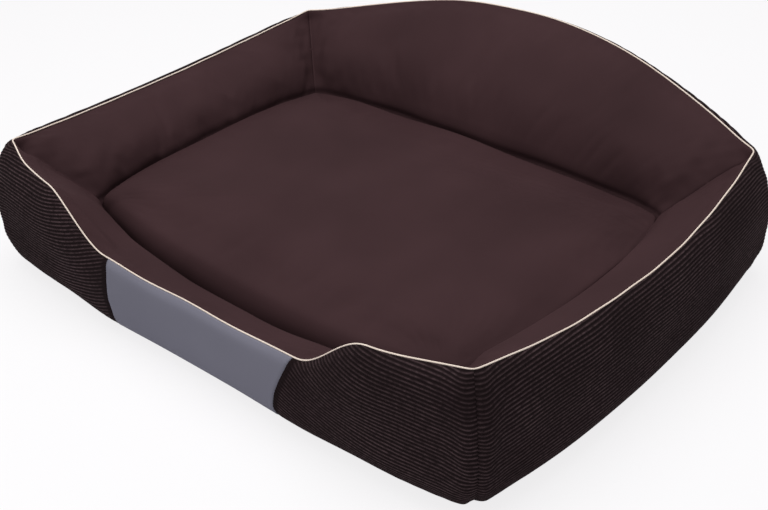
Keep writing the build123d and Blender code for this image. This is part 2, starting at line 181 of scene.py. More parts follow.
# Mattress
mattress_gap = 0.001  # to the crease
front_gap = 0.015  # deeper valley along the front
mattress_edge_height = 0.138
mattress_crown = 0.014
mattress_bottom_roll = 0.018
edge_rolls = (0.050, 0.030, 0.030, 0.045)  # at the front, back, left and right
edge_falls = (0.060, 0.010, 0.010, 0.011)
mattress_step = 0.004  # grid step round the mattress
corner_easing = 5  # rounds of smoothing of the outline
snug_place = (0.425, 0.20)  # X and Y of the middle of the stretch that is pressed into the wall
snug_depth = 0.007
snug_reach = 0.09
cover_seam_depth = 0.0012
side_top = 0.06  # upright rows of the side end at this height
simulated_above = 0.105  # below this height the side is held still in the simulation
swollen_above = 0.127
fold_height = 0.0011
corner_fold_height = 0.0016
top_unevenness = 0.0036
top_unevenness_length = 0.30
long_fold_height = 0.0019
long_fold_pitch = 0.021
window_depth = 0.0065  # recess of the zip
window_half_height = 0.0100
window_half_length = 0.280
window_edge = 0.0012
tape_rib_pitch = 0.002

# Grids
arc_points = 24
fine_points = 120  # on a section, before its corners are eased
outer_rounding, inner_rounding = 60, 40  # rounds of easing
inner_columns, hidden_columns = 110, 30  # points round a bolster, on its inner face and behind it
piping_sides = 12
piping_easing = 5

zip_low, zip_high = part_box("zip_tape_lower"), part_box("zip_tape_upper")
zip_height = (zip_low[1][2] + zip_high[0][2]) / 2
rear_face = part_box("mattress_top_cover")[1][1]


def smooth(share):
    """Ease from 0 to 1 with level ends."""
    share = np.clip(share, 0, 1)
    return share * share * (3 - 2 * share)


def swell(t):
    return 1 - t * t


def waves(u, v, seed, length):
    """Soft irregular relief between about -1 and 1, the same on every run."""
    rng = np.random.default_rng(seed)
    total = 0
    count = 7
    for _ in range(count):
        angle, phase = rng.uniform(0, 2 * np.pi, 2)
        pitch = length * rng.uniform(0.7, 1.8)
        total = total + np.sin(2 * np.pi * (u * np.cos(angle) + v * np.sin(angle)) / pitch + phase)
    return total / np.sqrt(count)


# Rim and crease of each wall, for t from -1 to 1 along +X, or along +Y on the sides


def side_rim(t, side):
    drop = back_corner_drop * (t + 1) / 2 + side_sag * swell(t)
    x = side * (rim_width / 2 + side_bow * swell(t))
    return np.stack([x, t * rim_depth / 2, corner_height - drop], -1)


def side_crease(t, side):
    middle = (well_back + well_front) / 2
    x = well_half_width + side_crease_bow * (1 - np.abs(t) ** 3)
    return np.stack([side * x, middle + t * (well_back - well_front) / 2], -1)


def front_rim(t):
    across = np.abs(t) * rim_width / 2
    rest = rim_width / 2 - entry_half_width - entry_ramp
    ramp = smooth((across - entry_half_width) / entry_ramp)
    ease = smooth((across - entry_half_width - entry_ramp) / rest)
    drop = entry_drop * (1 - ramp) + shoulder_dip * (1 - ease) * ramp
    y = -rim_depth / 2 - front_bow * (1 - t**4)
    return np.stack([t * rim_width / 2, y, corner_height - drop], -1)


def back_rim(t):
    rise = arch_rise * (1 - np.abs(t) ** arch_shape_share) ** 1.5
    y = rim_depth / 2 + back_bow * swell(t)
    return np.stack([t * rim_width / 2, y, corner_height - back_corner_drop + rise], -1)


def front_crease(t):
    x = t * rim_width / 2 * (1 - (1 - 2 * well_half_width / rim_width) * np.abs(t) ** 3)
    share = x / well_half_width
    bow = front_crease_bow * (1 - np.abs(share) ** 3)
    y = well_front - bow - crease_skew * share * swell(share)
    return np.stack([x, y], -1)


def back_crease(t):
    return np.stack([t * well_half_width, well_back + back_crease_bow * (1 - t**6)], -1)


def arc(start, end, puff, shares):
    """Points on the arcs between pairs of points that swell by puff times their chord."""
    chord = end - start
    length = np.linalg.norm(chord, axis=-1, keepdims=True)
    along = chord / length
    normal = np.stack([along[:, 1], -along[:, 0]], -1)
    half_angle = 2 * np.arctan(2 * puff)
    radius = length / (2 * np.sin(half_angle))
    angle = half_angle * (2 * shares[None, :, None] - 1)
    along_part = radius[:, None] * np.sin(angle) * along[:, None]
    normal_part = radius[:, None] * (np.cos(angle) - np.cos(half_angle)) * normal[:, None]
    return ((start + end) / 2)[:, None] + along_part + normal_part


def evened(line, count, rounding):
    """Lines of points (n, k, 2) with their corners eased, at count places evenly along each."""
    ends = line[:, :1], line[:, -1:]
    for _ in range(rounding):
        middle = (line[:, :-2] + 2 * line[:, 1:-1] + line[:, 2:]) / 4
        line = np.concatenate([ends[0], middle, ends[1]], 1)
    steps = np.linalg.norm(np.diff(line, axis=1), axis=-1)
    reach = np.concatenate([np.zeros((len(line), 1)), np.cumsum(steps, 1)], 1)
    result = np.empty((len(line), count, 2))
    for i in range(len(line)):
        places = np.linspace(0, reach[i, -1], count)
        result[i, :, 0] = np.interp(places, reach[i], line[i, :, 0])
        result[i, :, 1] = np.interp(places, reach[i], line[i, :, 1])
    return result, reach[:, -1]


class Wall:
    """One bolster between two corners.

    normal points out of the bed, and foot_shift is how much less the foot bows than the rim.
    """

    def __init__(self, name, rim, crease, normal, foot_shift):
        self.name = name
        self.rim = rim
        self.crease = crease
        self.normal = np.array(normal, float)
        self.foot_shift = foot_shift
        self.half = rim_width / 2 if normal[1] else rim_depth / 2

    def section(self, t):
        """Place and outward direction of the sections at t, and their corners, each (n, 2)."""
        rim = self.rim(t)
        reach = rim[:, :2] - self.crease(t)
        width = np.linalg.norm(reach, axis=1)
        outward = reach / width[:, None]
        stray = rim_wander * waves(rim[:, 0], rim[:, 1], 3, 0.13)
        lift = rim_wander * waves(rim[:, 0], rim[:, 1], 4, 0.15)
        from_corner = (1 - np.abs(t)) * self.half
        if self.name in ("left", "front"):
            near = smooth(1 - from_corner / corner_pull_reach) * (t < 0)
            stray = stray - corner_pull[0] * near
            lift = lift + corner_pull[1] * near
        mitre = smooth(1 - from_corner / corner_blend)
        shift = self.foot_shift * swell(t)

        def out(offset, radius, back):
            blunt = (np.sqrt(2) - 1) * radius * np.maximum(0, 1 - from_corner / radius) ** 2
            straight = (offset - back) / (outward @ self.normal)
            return straight * (1 - mitre) + np.sqrt(2) * offset * mitre - blunt

        height = rim[:, 2]
        wide = bulge_height * np.minimum(height, corner_height) / corner_height
        foot = out(foot_offset, foot_corner_radius, shift)
        land = piping_radius + seam_gap
        zero = np.zeros_like(t)
        corners = [
            (-width * (1 - undercut_share), zero + foot_level),
            (foot - foot_roll, zero + foot_level),
            (out(bulge, bulge_corner_radius, shift), wide),
            (out(shoulder, bulge_corner_radius, 0), height - shoulder),
            (stray + land, height + lift),
            (stray - land, height + lift),
            (-width, zero + crease_height),
        ]
        return rim, outward, [np.stack(c, -1) for c in corners], from_corner

    def placed(self, t, local):
        """Local (outward, height) points (n, k, 2) of the sections at t, in space."""
        rim, outward, _, _ = self.section(t)
        flat = rim[:, None, :2] + local[:, :, :1] * outward[:, None]
        return np.concatenate([flat, local[:, :, 1:]], -1)


left, right = (
    Wall(
        "left" if side < 0 else "right",
        lambda t, side=side: side_rim(t, side),
        lambda t, side=side: side_crease(t, side),
        (side, 0),
        side_bow - side_foot_bow,
    )
    for side in (-1, 1)
)
front = Wall("front", front_rim, front_crease, (0, -1), front_bow - front_foot_bow)
back = Wall("back", back_rim, back_crease, (0, 1), back_bow - back_foot_bow)
round_bed = (front, 1), (right, 1), (back, -1), (left, -1)


def joined(runs, count, rounding):
    """Arcs joined to one line and evened; each run is its start, its end and its puff."""
    shares = np.linspace(0, 1, arc_points)
    parts = [arc(*run, shares)[:, :-1] for run in runs[:-1]]
    line, _ = evened(np.concatenate([*parts, arc(*runs[-1], shares)], 1), fine_points, 0)
    return evened(line, count, rounding)


def outer_line(corners, count):
    """Outer face of the sections, from the seam under the foot up to the piping."""
    puffs = foot_puff_share, outer_puff_share, shoulder_puff_share
    return joined([*zip(corners[1:4], corners[2:5], puffs)], count, outer_rounding)


def inner_line(corners, count):
    """Inner face of the sections, from the piping down over the crease to the inner foot."""
    runs = (corners[5], corners[6], inner_puff_share), (corners[6], corners[0], under_puff_share)
    return joined(runs, count, inner_rounding)


def eased_loop(line, rounds):
    """A closed line after some rounds of easing, and its direction at each point."""
    for _ in range(rounds):
        line = (np.roll(line, 1, 0) + 2 * line + np.roll(line, -1, 0)) / 4
    along = np.roll(line, -1, 0) - np.roll(line, 1, 0)
    return line, along / np.linalg.norm(along, axis=1, keepdims=True)


def rim_length(wall, start, end):
    line = wall.rim(np.linspace(start, end, 60))
    return np.linalg.norm(np.diff(line, axis=0), axis=1).sum()


def grid_normals(points):
    """Unit normals of a grid of points (n, k, 3)."""
    along = np.gradient(points, axis=0)
    across = np.gradient(points, axis=1)
    normal = np.cross(along, across)
    return normal / np.maximum(np.linalg.norm(normal, axis=-1, keepdims=True), 1e-12)


def facing(normals, direction):
    """The normals, turned as one so that most of them point along the directions given."""
    return normals if np.sum(normals * direction) > 0 else -normals


def mitred(normals, local, outward, from_corner):
    """Normals of a wall's face, turned into the plane of the mitre seam beside a corner."""
    run = np.gradient(local, axis=1)
    flat = np.concatenate([run[..., 1:] * outward[:, None], -run[..., :1]], -1)
    flat /= np.linalg.norm(flat, axis=-1, keepdims=True)
    flat = facing(flat, normals)
    share = smooth(1 - from_corner / mitre_plane)[:, None, None]
    mixed = normals * (1 - share) + flat * share
    return mixed / np.linalg.norm(mixed, axis=-1, keepdims=True)


def grid_faces(rows, columns, closed=False):
    spans = columns if closed else columns - 1
    i, j = np.meshgrid(np.arange(rows - 1), np.arange(spans), indexing="ij")
    after = (j + 1) % columns
    this_row, next_row = i * columns, (i + 1) * columns
    corners = this_row + j, this_row + after, next_row + after, next_row + j
    return np.stack(corners, -1).reshape(-1, 4)


def lidded(rows, columns):
    """Faces that close both ends of a tube of rows, each a closed run of columns points."""
    lids = []
    for start in (0, (rows - 1) * columns):
        last = start + columns - 1
        for k in range(columns // 2 - 1):
            lids.append((start + k, start + k + 1, last - 1 - k, last - k))
    return np.array(lids)


def tube_faces(rows, columns):
    return np.concatenate([grid_faces(rows, columns, closed=True), lidded(rows, columns)])


def make_piece(name, points, faces, material, body, replaces, painted_light=None):
    """A mesh object that rides on a body, with the painted light and shade of the corduroy ribs at
    each point as an attribute.
    """
    mesh = bpy.data.meshes.new(name)
    mesh.from_pydata(points.reshape(-1, 3).tolist(), [], [tuple(f) for f in faces.tolist()])
    mesh.validate()
    if painted_light is not None:
        layer = mesh.attributes.new("painted_rib_light", "FLOAT", "POINT")
        layer.data.foreach_set("value", painted_light.astype(np.float32).ravel())
    mesh.polygons.foreach_set("use_smooth", np.full(len(mesh.polygons), True))
    mesh.materials.append(material)
    mesh.update()
    piece = bpy.data.objects.new(name, mesh)
    bpy.context.scene.collection.objects.link(piece)
    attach(piece, body)
    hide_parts(*replaces)
    return piece


# Materials


class Recipe:
    """Short way to lay out the nodes of one material."""

    def __init__(self, name):
        self.material = bpy.data.materials.new(name)
        self.material.use_nodes = True
        self.tree = self.material.node_tree
        self.shader = self.tree.nodes["Principled BSDF"]

    def node(self, kind, inputs=None, **settings):
        made = self.tree.nodes.new(kind)
        for key, value in settings.items():
            setattr(made, key, value)
        for key, value in (inputs or {}).items():
            if hasattr(value, "is_output"):
                self.tree.links.new(value, made.inputs[key])
            else:
                made.inputs[key].default_value = value
        return made

    def place(self):
        return self.node("ShaderNodeTexCoord").outputs["Object"]

    def noise(self, where, scale, detail):
        made = self.node("ShaderNodeTexNoise", {"Vector": where, "Scale": scale, "Detail": detail})
        return made.outputs["Fac"]

    def mixed(self, share, low, high):
        made = self.node("ShaderNodeMix", {"Factor": share}, data_type="RGBA")
        made.inputs["A"].default_value = (*low, 1)
        made.inputs["B"].default_value = (*high, 1)
        return made.outputs["Result"]

    def weave(self, where, pitch):
        """Over and under of a plain weave, from 0 to 1."""
        parts = []
        for axis in ("X", "Y"):
            laid = {"Vector": where, "Scale": 1 / (pitch * 6.2832)}
            wave = self.node("ShaderNodeTexWave", laid, bands_direction=axis)
            parts.append(wave.outputs["Fac"])
        return self.product(*parts)

    def product(self, one, two):
        return self.node("ShaderNodeMath", {0: one, 1: two}, operation="MULTIPLY").outputs[0]

    def finish(self, colour, relief, strength, distance, **settings):
        values = {"Height": relief, "Strength": strength, "Distance": distance}
        bump = self.node("ShaderNodeBump", values)
        self.tree.links.new(bump.outputs["Normal"], self.shader.inputs["Normal"])
        self.tree.links.new(colour, self.shader.inputs["Base Color"])
        for key, value in settings.items():
            self.shader.inputs[key.replace("_", " ")].default_value = value
        return self.material


def corduroy_material():
    r = Recipe("corduroy_cloth")
    where = r.place()
    # painted light across each rib: painted shade in the grooves and a painted highlight along
    # each crest, in patches of stronger and fainter contrast
    painted_rib_light = r.node("ShaderNodeAttribute", attribute_name="painted_rib_light").outputs["Fac"]
    cloud = r.noise(where, 7, 2)
    patches = {"From Min": 0.3, "From Max": 0.7, "To Min": 0.45, "To Max": 1.15}
    uneven = r.node("ShaderNodeMapRange", {"Value": cloud, **patches}).outputs[0]
    # breaks along the painted highlight of the ribs
    broken = r.noise(where, 150, 4)
    limits = {"From Min": 0.3, "From Max": 0.7, "To Min": 0.25, "To Max": 1.2}
    highlight_breaks = r.node("ShaderNodeMapRange", {"Value": broken, **limits}).outputs[0]
    share = r.product(r.product(painted_rib_light, uneven), highlight_breaks)
    # from the painted shade of a groove to the painted highlight on a rib's crest
    colour = r.mixed(share, (0.0125, 0.0074, 0.0082), (0.098, 0.063, 0.068))
    pile = r.noise(where, 1400, 2)
    r.shader.inputs["Specular IOR Level"].default_value = 0.05
    return r.finish(colour, pile, 0.5, 0.0006, Roughness=0.95)


def smooth_cloth(name, low, high, roughness, sheen, pitch):
    r = Recipe(name)
    where = r.place()
    cloud = r.noise(where, 5, 2)
    colour = r.mixed(cloud, low, high)
    weave = r.weave(where, pitch)
    r.shader.inputs["Specular IOR Level"].default_value = 0.03
    look = {"Roughness": roughness, "Sheen_Weight": sheen, "Sheen_Roughness": 0.35}
    return r.finish(colour, weave, 0.25, 0.0002, **look)


def hard(name, low, high, grain, strength, distance, **settings):
    r = Recipe(name)
    wear = r.noise(r.place(), *grain)
    return r.finish(r.mixed(wear, low, high), wear, strength, distance, **settings)


corduroy = corduroy_material()
inner_cloth, grey_cloth, piping_cloth, sole_cloth, lining_cloth, tape_cloth = (
    smooth_cloth(*look)
    for look in (
        ("inner_cloth", (0.033, 0.0166, 0.0182), (0.061, 0.0312, 0.0343), 0.7, 0.0, 0.0007),
        ("grey_cloth", (0.168, 0.165, 0.206), (0.202, 0.198, 0.244), 0.75, 0.0, 0.0009),
        ("piping_cloth", (0.84, 0.68, 0.57), (0.95, 0.84, 0.75), 0.6, 0.05, 0.0005),
        ("sole_cloth", (0.012, 0.011, 0.012), (0.022, 0.020, 0.021), 0.85, 0.05, 0.0012),
        ("lining_cloth", (0.030, 0.021, 0.022), (0.042, 0.030, 0.031), 0.85, 0.05, 0.0010),
        ("tape_cloth", (0.030, 0.019, 0.020), (0.045, 0.029, 0.031), 0.8, 0.1, 0.0006),
    )
)
metal_look = (0.16, 0.15, 0.15), (0.26, 0.25, 0.245), (260, 4), 0.12, 0.0002
slider_metal = hard("slider_metal", *metal_look, Roughness=0.36, Metallic=1.0)
teeth_look = (0.020, 0.013, 0.013), (0.030, 0.020, 0.020), (900, 2), 0.15, 0.0001
teeth_plastic = hard("teeth_plastic", *teeth_look, Roughness=0.42)


# Outer covers


def slid(t, columns):
    """Outer face of the front wall, with its cloth slid along to where the panel's seams lie."""
    dense = np.linspace(-1, 1, 1200)
    _, _, corners, _ = front.section(dense)
    local, lengths = outer_line(corners, columns)
    table = front.placed(dense, local)
    shares = np.linspace(0, 1, columns)
    left_places = np.interp(shares, seam_shares, left_seam)
    right_places = np.interp(shares, seam_shares, right_seam)
    points = np.empty((len(t), columns, 3))
    places = np.empty((len(t), columns))
    for k in range(columns):
        marks = (-1, left_places[k], right_places[k], 1)
        places[:, k] = np.interp(t, (-1, -panel_share, panel_share, 1), marks)
        for axis in range(3):
            points[:, k, axis] = np.interp(places[:, k], dense, table[:, k, axis])
    return points, places, shares * np.interp(places, dense, lengths)


def outer_cover(name, wall, start, end, step, material, slot, node, ribbed=True):
    """Skin of a wall between two places along it, with its edges turned in."""
    t = np.linspace(start, end, int(rim_length(wall, start, end) / step) + 1)
    _, outward, corners, from_corner = wall.section(t)
    _, longest = outer_line(corners, 10)
    columns = int(longest.max() / cloth_step) + 1
    if not ribbed:
        columns //= 3
    local, lengths = outer_line(corners, columns)
    points = wall.placed(t, local)
    up = np.linspace(0, 1, columns)[None] * lengths[:, None]
    along = wall.rim(t)[:, 0 if wall.normal[1] else 1][:, None] + 0 * up
    beside_panel = np.full_like(t, 1.0)
    if wall is front:
        points, places, up = slid(t, columns)
        along = places * wall.half
        lengths = up[:, -1]
        beside_panel = np.abs(np.abs(t) - panel_share) * wall.half
    out3 = np.concatenate([outward, np.zeros((len(t), 1))], 1)[:, None]
    normals = mitred(facing(grid_normals(points), out3), local, outward, from_corner)

    # the cloth is drawn in at the upright seams, and puckers beside them
    crisp = np.exp(-from_corner / seam_crisp_width)
    soft = np.exp(-((from_corner / seam_width) ** 2))
    seam = (seam_crisp_share * crisp + (1 - seam_crisp_share) * soft)[:, None]
    beside = np.exp(-from_corner / (4 * seam_width))[:, None]
    free = smooth(np.minimum(from_corner, beside_panel) / 0.012)[:, None]
    from_edge = np.minimum(up, lengths[:, None] - up)
    hold = smooth(from_edge / 0.02)
    relief = -seam_groove * seam * hold
    relief -= panel_groove * hold * np.exp(-beside_panel / panel_groove_width)[:, None]
    relief += pucker_height * beside * free * hold * waves(up, along, 11, pucker_length)
    uneven = cover_unevenness * hold * smooth(from_corner / 0.03)[:, None]
    relief += uneven * waves(along, up, 12, cover_unevenness_length)
    if wall.name in brow_height:
        from_piping = lengths[:, None] - up
        brow = np.exp(-(((from_piping - brow_place) / brow_width) ** 2))
        relief += brow_height[wall.name] * brow * smooth(from_corner / brow_fade)[:, None]
    painted_rib_light = np.ones_like(up)
    if not ribbed:
        from_welt = (beside_panel - panel_welt_place) / panel_welt_width
        relief += panel_welt * np.exp(-(from_welt**2))[:, None]
    if ribbed:
        line = up.copy()
        if wall is front:
            inside = np.maximum(0, swing_start - np.abs(along))
            line = swing_centre - np.sqrt(inside**2 + (swing_centre - up) ** 2)
        offset = rib_pitch * (rib_shift_sides if wall.normal[0] else rib_shift_ends)
        line = line + offset + rib_wander * waves(along, up, 13, rib_wander_length)
        line += rib_pucker * beside * waves(up, along, 14, rib_pucker_length)
        ridge = np.abs(np.cos(np.pi * line / rib_pitch))
        relief += rib_depth * (ridge**rib_shape_share - 1) * smooth(from_edge / 0.003)
        flat_strip = smooth((beside_panel - 0.008) / 0.006)[:, None]
        # painted highlight along each rib's crest and painted shade in the grooves; no painted
        # highlight on the strip beside the panel's seams
        painted_rib_light = ridge**rib_highlight_power * flat_strip
    points = points + normals * relief[:, :, None]

    # turned in at both ends and along both edges
    tuck = normals * cover_thickness
    points = np.concatenate([points[:1] - tuck[:1], points, points[-1:] - tuck[-1:]], 0)
    tuck = np.concatenate([tuck[:1], tuck, tuck[-1:]], 0)
    first, last = points[:, :1] - tuck[:, :1], points[:, -1:] - tuck[:, -1:]
    points = np.concatenate([first, points, last], 1)
    painted_rib_light = np.pad(painted_rib_light, 1, mode="edge")
    faces = grid_faces(*points.shape[:2])
    make_piece(name, points, faces, material, "bed_body", (node,), painted_rib_light)


panel_share = panel_half_width / (rim_width / 2)
for name, wall, start, end, step in (
    ("left", left, -1, 1, wall_step),
    ("right", right, -1, 1, wall_step),
    ("back", back, -1, 1, wall_step),
    ("front_left", front, -1, -panel_share, flank_step),
    ("front_right", front, panel_share, 1, flank_step),
):
    node = name + "_outer_cover"
    outer_cover(name + "_corduroy", wall, start, end, step, corduroy, "corduroy", node)
panel = front, -panel_share, panel_share, wall_step, grey_cloth
outer_cover("front_panel", *panel, "grey_fabric", "front_grey_panel", ribbed=False)


# Swelling of a stuffed form between its seams, found with a cloth simulation


def swollen(start, faces, held, even=False):
    """Points of a closed form, and how each moves as the form fills out.

    held marks the points that are sewn down; even lays a new, even grid over the form first.
    """
    scene = bpy.context.scene
    mesh = bpy.data.meshes.new("swelling_trial")
    mesh.from_pydata(start.reshape(-1, 3).tolist(), [], [tuple(f) for f in faces.tolist()])
    trial = bpy.data.objects.new("swelling_trial", mesh)
    scene.collection.objects.link(trial)
    if even:
        grid = trial.modifiers.new("Remesh", "REMESH")
        grid.mode = "VOXEL"
        grid.voxel_size = swell_voxel
        shape = trial.evaluated_get(bpy.context.evaluated_depsgraph_get())
        trial.data = bpy.data.meshes.new_from_object(shape)
        trial.modifiers.clear()
    before = np.empty(3 * len(trial.data.vertices))
    trial.data.vertices.foreach_get("co", before)
    before = before.reshape(-1, 3)
    group = trial.vertex_groups.new(name="held")
    group.add(np.flatnonzero(held(before)).tolist(), 1.0, "REPLACE")
    cloth = trial.modifiers.new("Cloth", "CLOTH")
    cloth.settings.quality = swell_quality
    cloth.settings.use_pressure = True
    cloth.settings.uniform_pressure_force = swell_pressure
    cloth.settings.shrink_min = -spare_cloth
    cloth.settings.vertex_group_mass = "held"
    cloth.settings.effector_weights.gravity = 0
    cloth.point_cache.frame_start = 1
    cloth.point_cache.frame_end = swell_frames
    for count in range(1, swell_frames + 1):
        scene.frame_set(count)
    shape = trial.evaluated_get(bpy.context.evaluated_depsgraph_get())
    after = np.empty(before.size)
    shape.data.vertices.foreach_get("co", after)
    bpy.data.objects.remove(trial)
    scene.frame_set(1)
    move = after.reshape(-1, 3) - before
    length = np.maximum(np.linalg.norm(move, axis=1, keepdims=True), 1e-9)
    return before, move * swell_limit * np.tanh(length / swell_limit) / length


def eased(grid, times):
    for _ in range(times):
        grid[1:-1] = (grid[:-2] + 2 * grid[1:-1] + grid[2:]) / 4
        grid[:, 1:-1] = (grid[:, :-2] + 2 * grid[:, 1:-1] + grid[:, 2:]) / 4
    return grid


# Bolsters: filling and inner cover in one stuffed form


def inner_relief(wall, t, corners, from_corner, down, along):
    """How far the inner face of a bolster stands out from its plain form."""
    hold = smooth(down / 0.014)
    near = np.exp(-from_corner / mitre_width)[:, None]
    wide = np.exp(-((from_corner / mitre_round_width) ** 2))[:, None]
    beside = np.exp(-from_corner / 0.05)[:, None]
    free = smooth(from_corner / 0.02)[:, None]
    deep = np.where((t < 0) & (wall in (left, front)), 1, shallow_pit_share)[:, None]
    pit = deep * np.exp(-(((down - pit_place) / pit_width) ** 2))
    relief = -hold * (mitre_depth * near + wide * (mitre_round + pit_depth * pit))
    crease_at = 1.02 * np.linalg.norm(corners[5] - corners[6], axis=1)[:, None]
    fallen = np.clip(down / crease_at, 0, 1)
    relief *= 1 - 0.8 * np.exp(-(((down / crease_at - 1) / 0.2) ** 2))
    toward = np.exp(-((from_corner / 0.05) ** 2))[:, None]
    relief -= 4 * mitre_flat * fallen * (1 - fallen) * toward

    # belly of the filling, and the valley under it
    belly = np.exp(-(((fallen - belly_place) / belly_width) ** 2))
    belly = belly * smooth((1 - fallen) / 0.12) * (1 - wide)
    relief += belly_height * (front_belly_share if wall is front else 1) * belly
    depth = crease_groove_shares[wall.name] * crease_groove
    relief -= depth * np.exp(-(((down - crease_at) / crease_groove_width) ** 2))

    # puckers beside the mitres, gathers below the piping, and soft unevenness
    relief += hold * free * pucker_height * beside * waves(down, along, 21, pucker_length)
    sewn = np.exp(-down / 0.018) * smooth(down / 0.005)
    relief += gather_height * free * sewn * waves(along, down, 22, gather_length)
    if wall is left:
        relief -= left_dip * free * np.exp(-down / 0.008)
    uneven = inner_unevenness * free * smooth(down / 0.03)
    relief += uneven * waves(along, down, 23, inner_unevenness_length)
    return relief


def swell_bolster(loop, down):
    """Let the inner cover of a bolster swell over its filling, on a coarse grid of its points."""
    rows, columns = loop.shape[:2]
    rows_at = np.unique(np.append(np.arange(0, rows, 2), rows - 1))
    inner_at = np.append(np.arange(0, inner_columns - 1, 3), inner_columns - 1)
    at = np.append(inner_at, np.arange(inner_columns, columns, 3 - len(inner_at) % 2))
    at = at[: len(at) // 2 * 2]
    few = loop[rows_at][:, at]
    sewn_down = np.ones(few.shape[:2], bool)
    sewn_down[2:-2, 1 : len(inner_at) * 3 // 5] = False
    _, move = swollen(few, tube_faces(*few.shape[:2]), lambda found: sewn_down.ravel())
    move = move.reshape(*few.shape)[:, : len(inner_at)]
    for axis in range(3):
        part = move[..., axis]
        part = np.stack([np.interp(np.arange(inner_columns), inner_at, line) for line in part])
        part = np.stack([np.interp(np.arange(rows), rows_at, line) for line in part.T], 1)
        loop[:, :inner_columns, axis] += eased(part, 4) * smooth(down / 0.035)


def bolster(name, wall, nodes):
    rows = int(rim_length(wall, -1, 1) / wall_step) + 1
    t = np.linspace(-1, 1, rows)
    _, outward, corners, from_corner = wall.section(t)
    inner, lengths = inner_line(corners, inner_columns)
    outer, _ = outer_line(corners, hidden_columns)
    tangent = np.gradient(outer, axis=1)
    side = np.stack([tangent[..., 1], -tangent[..., 0]], -1)
    side /= np.linalg.norm(side, axis=-1, keepdims=True)
    inset = 2 * (cover_thickness + rib_depth)
    outer = outer - side * inset
    outer[..., 1] = np.maximum(outer[..., 1], base_thickness + seam_gap)
    inner[..., 1] = np.maximum(inner[..., 1], base_thickness + seam_gap)

    points = wall.placed(t, inner)
    out3 = np.concatenate([-outward, np.full((rows, 1), 0.8)], 1)[:, None]
    normals = mitred(facing(grid_normals(points), out3), inner, outward, from_corner)
    down = np.linspace(0, 1, inner_columns)[None] * lengths[:, None]
    along = wall.rim(t)[:, 0 if wall.normal[1] else 1][:, None] + 0 * down
    relief = inner_relief(wall, t, corners, from_corner, down, along)
    points = points + normals * relief[:, :, None]
    loop = np.concatenate([points, wall.placed(t, outer)], 1)
    swell_bolster(loop, down)
    faces = tube_faces(*loop.shape[:2])
    piece = make_piece(name, loop, faces, inner_cloth, "bed_body", nodes)


bolster("front_bolster", front, ("front_inner_cover", "front_core"))
bolster("back_bolster", back, ("back_inner_cover", "back_core"))
bolster("left_bolster", left, ("left_inner_cover", "left_core"))
bolster("right_bolster", right, ("right_inner_cover", "right_core"))


# Piping round the rim


def rim_line(wall, t):
    rim, outward, corners, from_corner = wall.section(t)
    middle = (corners[4] + corners[5]) / 2
    if wall.name in ("left", "back"):
        share = smooth(from_corner / 0.05) * (smooth((t + 0.2) / 0.6) if wall is back else 1)
        middle = middle + share[:, None] * np.array(piping_lean)
    flat = rim[:, :2] + middle[:, :1] * outward
    return np.concatenate([flat, middle[:, 1:]], 1)


def piping():
    runs = []
    for wall, way in round_bed:
        count = int(2 * wall.half / wall_step)
        runs.append(rim_line(wall, way * np.linspace(-1, 1, count + 1)[:-1]))
    line = np.concatenate(runs)
    line, along = eased_loop(line, piping_easing)
    side = np.cross(along, (0, 0, 1))
    side /= np.linalg.norm(side, axis=1, keepdims=True)
    up = np.cross(side, along)
    angle = 2 * np.pi * np.arange(piping_sides) / piping_sides
    angle = angle[None, :, None]
    ring = side[:, None] * np.cos(angle) + up[:, None] * np.sin(angle)
    centre = line + np.array([0, 0, piping_radius / 4])
    points = centre[:, None] + piping_radius * ring
    closed = np.concatenate([points, points[:1]])
    faces = grid_faces(len(closed), piping_sides, closed=True) % (len(points) * piping_sides)
    nodes = ("rim_piping",)
    make_piece("rim_piping_cord", points, faces, piping_cloth, "bed_body", nodes)


piping()


# Mattress


def mattress_edge():
    """Outline of the mattress seen from above, with eased corners, and its outward normals."""
    t = np.linspace(-1, 1, 400)[:-1]
    line = np.concatenate([front.crease(t), right.crease(t), back.crease(-t), left.crease(-t)])
    steps = np.linalg.norm(np.roll(line, -1, 0) - line, axis=1)
    reach = np.concatenate([[0], np.cumsum(steps)])
    closed = np.concatenate([line, line[:1]])
    places = np.arange(0, reach[-1] - mattress_step / 2, mattress_step)
    line = np.stack([np.interp(places, reach, closed[:, i]) for i in (0, 1)], -1)
    line, along = eased_loop(line, corner_easing)
    outward = np.stack([along[:, 1], -along[:, 0]], -1)
    inside = 1 - np.minimum(1, np.abs(line[:, 0] / well_half_width)) ** 4
    forward = np.maximum(0, -outward[:, 1]) ** 2 * inside
    # near the back right corner the mattress is pressed against the wall
    from_snug = (line[:, 0] - snug_place[0]) ** 2 + (line[:, 1] - snug_place[1]) ** 2
    pressed = snug_depth * np.exp(-from_snug / snug_reach**2) * np.maximum(0, outward[:, 0])
    return line - (mattress_gap + front_gap * forward - pressed)[:, None] * outward, outward


def side_heights(low, high, count):
    """Rows up the side of the mattress, close together where the zip's recess begins and ends."""
    steps = (-1.5, -0.5, 0.5, 1.5)
    apart = [window_half_height + step * window_edge for step in steps]
    edges = [zip_height + side * gap for side in (-1, 1) for gap in apart]
    rows = [*np.linspace(low, high, count), *(e for e in edges if low < e < high)]
    return np.array(sorted(rows))


